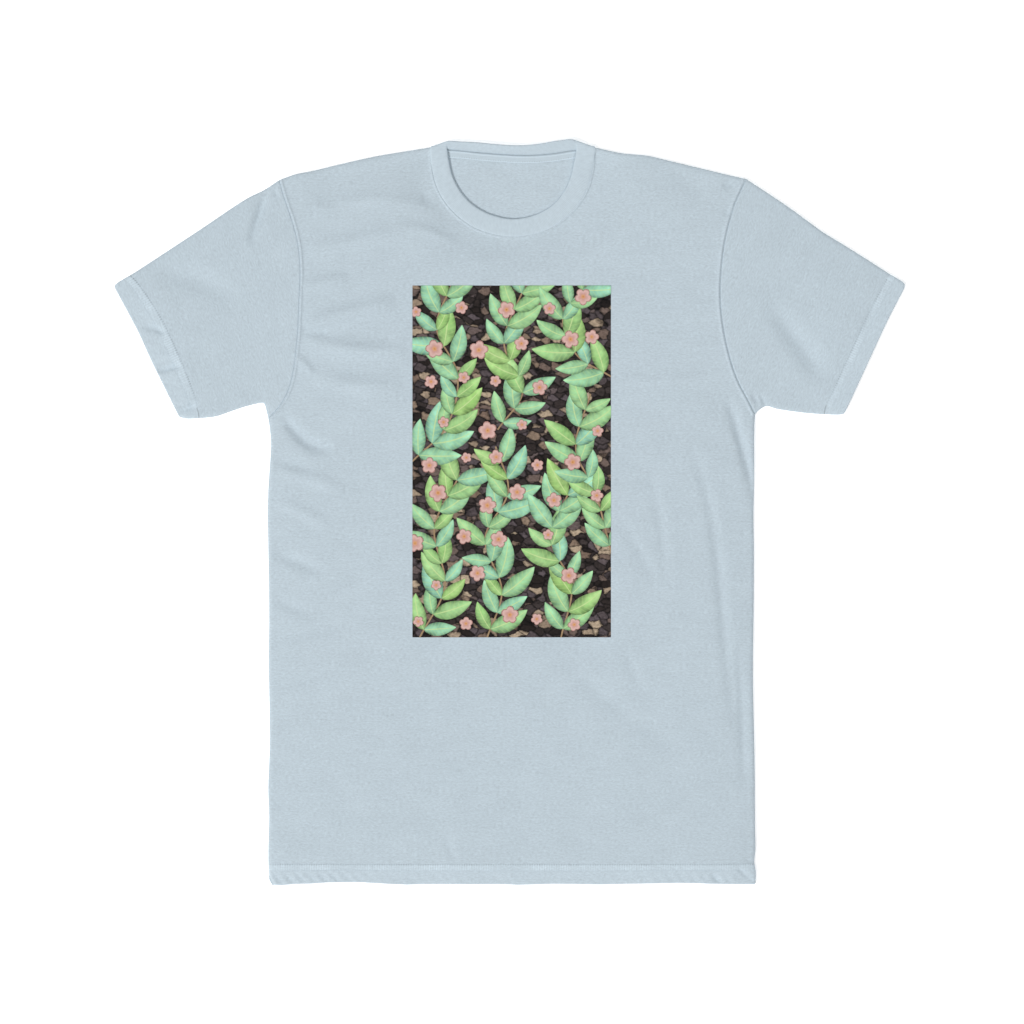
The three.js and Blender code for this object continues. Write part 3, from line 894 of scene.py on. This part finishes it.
class Shader:
    """A material's nodes. Each value given is a number, a tuple or another node's output."""

    def __init__(self, name, roughness=0.9, sheen=0.0, specular=0.25):
        self.material = bpy.data.materials.new(name)
        self.material.use_nodes = True
        self.tree = self.material.node_tree
        self.surface = self.tree.nodes["Principled BSDF"]
        for key, value in (("Roughness", roughness), ("Specular IOR Level", specular),
                           ("Sheen Weight", sheen), ("Sheen Roughness", 0.5)):
            self.feed(self.surface.inputs[key], value)

    def feed(self, socket, value):
        if isinstance(value, bpy.types.NodeSocket):
            self.tree.links.new(value, socket)
        else:
            socket.default_value = value

    def node(self, kind, output=0, options=None, **inputs):
        node = self.tree.nodes.new(kind)
        for key, value in (options or {}).items():
            setattr(node, key, value)
        for key, value in inputs.items():
            self.feed(node.inputs[key.replace("_", " ")], value)
        return node.outputs[output]

    def math(self, operation, *values, clamp=False):
        node = self.tree.nodes.new("ShaderNodeMath")
        node.operation = operation
        node.use_clamp = clamp
        for socket, value in zip(node.inputs, values):
            self.feed(socket, value)
        return node.outputs[0]

    def uv(self, name):
        """The two coordinates of a map, in millimetres."""
        place = self.node("ShaderNodeUVMap", options={"uv_map": name})
        split = self.node("ShaderNodeSeparateXYZ", Vector=place).node
        return [self.times(split.outputs[axis], 1 / MM) for axis in (0, 1)]

    def place(self, u, v, u_length, v_length):
        """A position for a texture whose features are u_length by v_length millimetres."""
        return self.node("ShaderNodeCombineXYZ", X=self.math("DIVIDE", u, u_length),
                         Y=self.math("DIVIDE", v, v_length))

    def noise(self, u, v, u_length, v_length, detail=2.0, roughness=0.5):
        vector = self.place(u, v, u_length, v_length)
        return self.node("ShaderNodeTexNoise", Vector=vector, Scale=1.0, Detail=detail,
                         Roughness=roughness)

    def times(self, first, second, clamp=False):
        return self.math("MULTIPLY", first, second, clamp=clamp)

    def zigzag(self, value, period=1.0):
        """0 at each whole period and 1 half-way between them."""
        return self.math("PINGPONG", self.times(value, 2.0 / period), 1.0)

    def falloff(self, value, width):
        """1 where the value is 0, down to 0 where it is as much as the width."""
        return self.math("SUBTRACT", 1.0, self.math("DIVIDE", value, width), clamp=True)

    def apart(self, value, place):
        return self.math("ABSOLUTE", self.math("SUBTRACT", value, place))

    def stretched(self, value, low, high, to_low=0.0, to_high=1.0):
        return self.node("ShaderNodeMapRange", Value=value, From_Min=low, From_Max=high, To_Min=to_low,
                         To_Max=to_high)

    def sum(self, *terms):
        """The weighted sum of (weight, value) terms."""
        total = 0.0
        for weight, value in terms:
            total = self.math("MULTIPLY_ADD", value, weight, total)
        return total

    def scaled(self, colour, factor):
        """A colour times a factor."""
        node = self.node("ShaderNodeVectorMath", options={"operation": "SCALE"}, Scale=factor)
        self.feed(node.node.inputs[0], colour)
        return node

    def shaded(self, colour, base, *terms):
        """A colour times a base and the weighted sum of (weight, value) terms."""
        return self.scaled(colour, self.math("ADD", self.sum(*terms), base))

    def finish(self, colour, height, distance, strength=1.0):
        bump = self.node("ShaderNodeBump", Height=height, Distance=distance * MM, Strength=strength)
        self.feed(self.surface.inputs["Base Color"], colour)
        self.feed(self.surface.inputs["Normal"], bump)
        return self.material


def linear(red, green, blue):
    """A colour as the renderer holds it, from the eight-bit values on screen."""
    def channel(value):
        value /= 255
        return value / 12.92 if value <= 0.04045 else ((value + 0.055) / 1.055) ** 2.4
    return tuple(channel(value) for value in (red, green, blue))


WALE = 0.78  # width of a column of knit stitches
COURSE = 0.58  # height of a row of them


def knit(shader, u, v):
    """Height of a plain knit's face, columns of V-shaped stitches, from 0 to 1."""
    across = shader.zigzag(u, WALE)
    row = shader.zigzag(shader.math("MULTIPLY_ADD", across, 0.75, shader.math("DIVIDE", v, COURSE)))
    leg = shader.math("MULTIPLY_ADD", shader.zigzag(across), 0.7, 0.3)
    return shader.times(shader.math("SMOOTH_MIN", row, 0.8, 0.4), leg)


def slubs(shader, u, v):
    """The fine wavering streaks along the rows of a knit, and its mottle, both from 0 to 1."""
    drift = shader.noise(u, v, 14, 10)
    wavy = shader.math("MULTIPLY_ADD", drift, 9.0, v)
    return (shader.noise(u, wavy, 3.4, 1.35, detail=2.0, roughness=0.7),
            shader.noise(u, v, 26, 19, detail=3.0, roughness=0.55))


SHIRT_BLUE = linear(196, 210, 219)


def jersey_material():
    shader = Shader("jersey", roughness=0.92, sheen=0.06, specular=0.15)
    u, v = shader.uv("cloth")
    streak, mottle = slubs(shader, u, v)
    stitches = knit(shader, u, v)
    along, depth = shader.uv("hem")
    # The hem band is painted a little lighter in the colour below: a painted highlight.
    hem_band_highlight = shader.stretched(depth, HEM_DEPTH + 0.3, HEM_DEPTH - 0.3)
    # The needle holes are dented by the bump and darkened in the colour with painted shade.
    holes_and_shade = stitch_holes_and_shade(shader, along, depth, HEM_DEPTH)
    # The ribs between the rows are raised by the bump and painted lighter in the colour: a painted
    # highlight.
    tick_ribs_and_highlight = stitch_tick_ribs_and_highlight(shader, along, depth)
    courses = shader.noise(u, v, 34.0, 1.9, detail=2.0)
    colour = shader.shaded(SHIRT_BLUE, 0.625, (0.50, streak), (0.10, mottle), (0.10, courses),
                           (0.05, stitches), (0.045, hem_band_highlight), (-0.75, holes_and_shade), (0.20, tick_ribs_and_highlight))
    height = shader.sum((0.55, stitches), (0.5, streak), (0.35, mottle), (-0.6, holes_and_shade), (0.8, tick_ribs_and_highlight))
    return shader.finish(colour, height, 0.35, 0.55)


def stitch_holes_and_shade(shader, along, depth, row_depth):
    """The needle holes between a row's stitches, 1 at their middles, with painted shade for their darkness.
    Some pull deeper than others.
    """
    near_row = shader.falloff(shader.apart(depth, row_depth), 0.85)
    between = shader.falloff(shader.zigzag(along, STITCH_PITCH), 2 / 3)
    pull = shader.stretched(shader.noise(along, depth, 16.0, 400.0), 0.38, 0.62, 0.25)
    return shader.times(near_row, shader.times(between, pull))


def stitch_tick_ribs_and_highlight(shader, along, depth):
    """The small ribs that the threads underneath raise between the two rows, here and there, which are also
    painted lighter as a painted highlight.
    """
    off_middle = shader.apart(depth, HEM_DEPTH - HEM_ROW_GAP / 2)
    inside = shader.math("SUBTRACT", HEM_ROW_GAP / 2, off_middle, clamp=True)
    taut = shader.stretched(shader.noise(along, depth, 38.0, 400.0, detail=3.0), 0.40, 0.60, 0.1, 0.9)
    return shader.times(inside, shader.times(taut, shader.zigzag(along, STITCH_PITCH)))


def rib_material():
    shader = Shader("rib", roughness=0.9, sheen=0.06, specular=0.15)
    u, v = shader.uv("cloth")
    ribs = shader.zigzag(u, 1.35)
    links = shader.zigzag(v, 0.8)
    streak = shader.noise(u, v, 2.4, 6.0, detail=3.0)
    mottle = shader.noise(u, v, 4.0, 4.0, detail=2.0)
    # The rib's edge by the seam is painted lighter: a painted highlight.
    rim_highlight = shader.falloff(v, 1.3)
    colour = shader.shaded(SHIRT_BLUE, 0.82, (0.06, ribs), (0.03, links), (0.16, streak), (0.14, mottle),
                           (0.10, rim_highlight))
    height = shader.sum((0.8, ribs), (0.2, links), (0.3, streak))
    return shader.finish(colour, height, 0.3, 0.5)


def tape_material():
    shader = Shader("tape", roughness=0.9, sheen=0.1, specular=0.15)
    u, v = shader.uv("cloth")
    weave = shader.zigzag(u, 0.7)
    cross = shader.zigzag(v, 0.7)
    mottle = shader.noise(u, v, 3.0, 3.0, detail=3.0)
    # Painted light on the tape: its needle holes and the crease by the seam are painted darker, painted
    # shade; the piping and the band's rim are painted lighter, painted highlights.
    stitch = stitch_holes_and_shade(shader, u, v, TAPE_ROW)
    crease_shade = shader.falloff(v, 1.5)
    piping, rim_highlight = (shader.falloff(shader.apart(v, line), 1.0) for line in (2.6, 7.8))
    colour = shader.shaded(SHIRT_BLUE, 0.88, (0.04, weave), (0.04, cross), (0.12, mottle), (-0.3, stitch),
                           (-0.45, crease_shade), (0.16, piping), (0.26, rim_highlight))
    height = shader.sum((0.5, weave), (0.5, cross), (0.2, mottle))
    return shader.finish(colour, height, 0.2, 0.5)


def thread_material():
    shader = Shader("thread", roughness=0.7, sheen=0.1, specular=0.3)
    u, v = shader.uv("cloth")
    twist = shader.zigzag(shader.math("ADD", u, v), 0.35)
    mottle = shader.noise(u, v, 4.0, 4.0)
    colour = shader.shaded(SHIRT_BLUE, 0.93, (0.12, twist), (0.1, mottle))
    return shader.finish(colour, twist, 0.06, 0.5)


def ink(shader, colour, u, v):
    """A printed colour, which lets a little of the knit through."""
    streak, mottle = slubs(shader, u, v)
    stitches = knit(shader, u, v)
    colour = shader.shaded(colour, 0.84, (0.12, streak), (0.10, mottle), (0.10, stitches))
    height = shader.sum((0.5, stitches), (0.4, streak), (0.3, mottle))
    return shader.finish(colour, height, 0.25, 0.45)


def ramp(shader, value, *stops):
    """A colour by a value from 0 to 1, from (place, colour) stops."""
    node = shader.tree.nodes.new("ShaderNodeValToRGB")
    shader.feed(node.inputs[0], value)
    elements = node.color_ramp.elements
    while len(elements) < len(stops):
        elements.new(0.5)
    for element, (place, colour) in zip(elements, stops):
        element.position = place
        element.color = (*colour, 1.0)
    return node.outputs[0]


def mixed(shader, factor, first, second):
    node = shader.tree.nodes.new("ShaderNodeMix")
    node.data_type = "RGBA"
    for socket, value in zip((node.inputs[0], node.inputs[6], node.inputs[7]), (factor, first, second)):
        shader.feed(socket, (*value, 1.0) if isinstance(value, tuple) else value)
    return node.outputs[2]


def ground_material():
    shader = Shader("print_ground", roughness=0.85, specular=0.2)
    u, v = shader.uv("cloth")
    bend = shader.noise(u, v, 7.0, 7.0, detail=3.0)
    bent_u = shader.math("MULTIPLY_ADD", bend, 7.0, u)
    bent_v = shader.math("MULTIPLY_ADD", bend, -6.0, v)
    bent = shader.place(bent_u, bent_v, 9.5, 6.0)
    cells = shader.node("ShaderNodeTexVoronoi", output=1, Vector=bent, Scale=1.0)
    chip = shader.node("ShaderNodeSeparateColor", Color=cells)
    to_edge = {"feature": "DISTANCE_TO_EDGE"}
    edge = shader.node("ShaderNodeTexVoronoi", options=to_edge, Vector=bent, Scale=1.0)
    crumbs = shader.noise(u, v, 3.0, 2.2, detail=5.0, roughness=0.7)
    colour = ramp(shader, chip, (0.05, linear(40, 33, 31)), (0.40, linear(66, 58, 57)),
                  (0.66, linear(98, 88, 92)), (0.84, linear(128, 108, 94)), (0.97, linear(190, 170, 146)))
    lit = shader.times(edge, 7.0, clamp=True)
    return ink(shader, shader.shaded(colour, -0.85, (2.0, crumbs), (0.75, lit)), u, v)


def leaf_material():
    shader = Shader("print_leaf", roughness=0.85, specular=0.2)
    u, v = shader.uv("cloth")
    along, across = shader.uv("hem")
    off_rib = shader.math("ABSOLUTE", across)
    vein_at = shader.math("MULTIPLY_ADD", off_rib, -0.12, along)
    vein = shader.math("POWER", shader.zigzag(vein_at, 1 / 9), 5.0)
    rib = shader.falloff(off_rib, 1 / 9)
    blotch = shader.noise(u, v, 9.0, 9.0, detail=3.0)
    tone = shader.node("ShaderNodeAttribute", output="Fac", options={"attribute_name": "layers"})
    tint = shader.noise(u, v, 22.0, 22.0, detail=2.0)
    fresh = mixed(shader, tint, linear(136, 196, 88), linear(190, 220, 150))
    body = mixed(shader, tone, fresh, linear(156, 214, 186))
    edge = shader.math("POWER", off_rib, 2.5)
    from_tip = shader.math("SUBTRACT", 1.0, along)
    body = shader.shaded(body, 0.68, (-0.6, edge), (1.2, blotch), (-0.45, from_tip))
    veined = mixed(shader, shader.times(vein, 0.35), body, linear(192, 226, 140))
    colour = mixed(shader, rib, veined, linear(206, 228, 160))
    return ink(shader, colour, u, v)


def stem_material():
    shader = Shader("print_stem", roughness=0.85, specular=0.2)
    u, v = shader.uv("cloth")
    streak = shader.noise(u, v, 2.0, 5.0, detail=3.0)
    return ink(shader, mixed(shader, streak, linear(120, 96, 74), linear(196, 168, 130)), u, v)


def blossom_material():
    shader = Shader("print_blossom", roughness=0.85, specular=0.2)
    u, v = shader.uv("cloth")
    out, around = shader.uv("hem")
    rays = shader.zigzag(around, 1 / 5)
    blotch = shader.noise(u, v, 4.0, 4.0, detail=3.0)
    reach = shader.sum((0.85, out), (0.12, rays), (0.12, blotch))
    colour = ramp(shader, reach, (0.12, linear(196, 122, 62)), (0.26, linear(222, 168, 120)),
                  (0.42, linear(206, 158, 150)), (0.80, linear(226, 190, 182)),
                  (0.97, linear(160, 112, 104)))
    return ink(shader, colour, u, v)


def floor_material():
    shader = Shader("floor", roughness=0.95, specular=0.0)
    shader.surface.inputs["Base Color"].default_value = (1.0, 1.0, 1.0, 1.0)
    shader.surface.inputs["Emission Color"].default_value = (1.0, 1.0, 1.0, 1.0)
    shader.surface.inputs["Emission Strength"].default_value = FLOOR_GLOW
    return shader.material


# Pieces

JERSEY_CLOTH = jersey_material()
RIB_CLOTH = rib_material()

front_panel = panel_surface(front_neckline, True).build("front_cloth", JERSEY)
finish_piece(front_panel, JERSEY_CLOTH, "jersey", "front_panel")
back_panel = panel_surface(back_neckline, False).build("back_cloth", JERSEY)
finish_piece(back_panel, JERSEY_CLOTH, "jersey", "back_panel")
for side in SIDES:
    sleeve = sleeve_surface(side).build("sleeve_" + side["name"] + "_cloth", JERSEY)
    finish_piece(sleeve, JERSEY_CLOTH, "jersey", "sleeve_" + side["name"])
collar = collar_surface().build("collar_rib", RIB)
finish_piece(collar, RIB_CLOTH, "rib", "collar")
tape = tape_surface().build("neck_tape_cloth", TAPE_LAYER)
finish_piece(tape, tape_material(), "tape", "neck_tape")
stitches = stitches_surface().build("stitches")
finish_piece(stitches, thread_material(), "jersey")
print_ground = ground_surface().build("print_ground")
finish_piece(print_ground, ground_material(), "print", "chest_print")
for name, surface, material in zip(("print_leaves", "print_stems", "print_blossoms"), motif_surfaces(),
                                   (leaf_material(), stem_material(), blossom_material())):
    motif = clip_to_print(surface.build(name))
    finish_piece(motif, material, "print")

# Stage

def make_floor():
    bpy.ops.mesh.primitive_plane_add(size=FLOOR_SIZE, location=(0, 0, FLOOR_Z * MM))
    floor = bpy.context.object
    floor.name = "floor"
    floor.data.materials.append(floor_material())
    floor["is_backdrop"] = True


def make_camera():
    camera = bpy.data.objects.new("camera", bpy.data.cameras.new("camera"))
    bpy.context.scene.collection.objects.link(camera)
    camera.data.lens = LENS
    camera.data.sensor_width = SENSOR
    camera.location = (VIEW_X * MM, 0, VIEW_WIDTH * LENS / SENSOR + FOLD_MIDDLE * MM)
    bpy.context.scene.camera = camera


def make_light(name, place, size, power, target=(0, 0, 0)):
    light = bpy.data.objects.new(name, bpy.data.lights.new(name, "AREA"))
    bpy.context.scene.collection.objects.link(light)
    light.data.shape = "SQUARE"
    light.data.size = size
    light.data.energy = power
    light.location = place
    aim = Vector(target) - Vector(place)
    light.rotation_euler = aim.to_track_quat("-Z", "Y").to_euler()


def make_world(strength):
    world = bpy.data.worlds.new("studio")
    world.use_nodes = True
    world.node_tree.nodes["Background"].inputs["Color"].default_value = (1, 1, 1, 1)
    world.node_tree.nodes["Background"].inputs["Strength"].default_value = strength
    bpy.context.scene.world = world


make_camera()
make_floor()
make_world(WORLD_LIGHT)
make_light("key", **KEY)
make_light("fill", **FILL)
bpy.context.scene.view_settings.view_transform = "Standard"

# Bounding boxes of the imported parts and of the pieces shown

boxes = {"cad": CAD_BOX, "visual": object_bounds()}
{name: [list(corner) for corner in box] for name, box in boxes.items()}
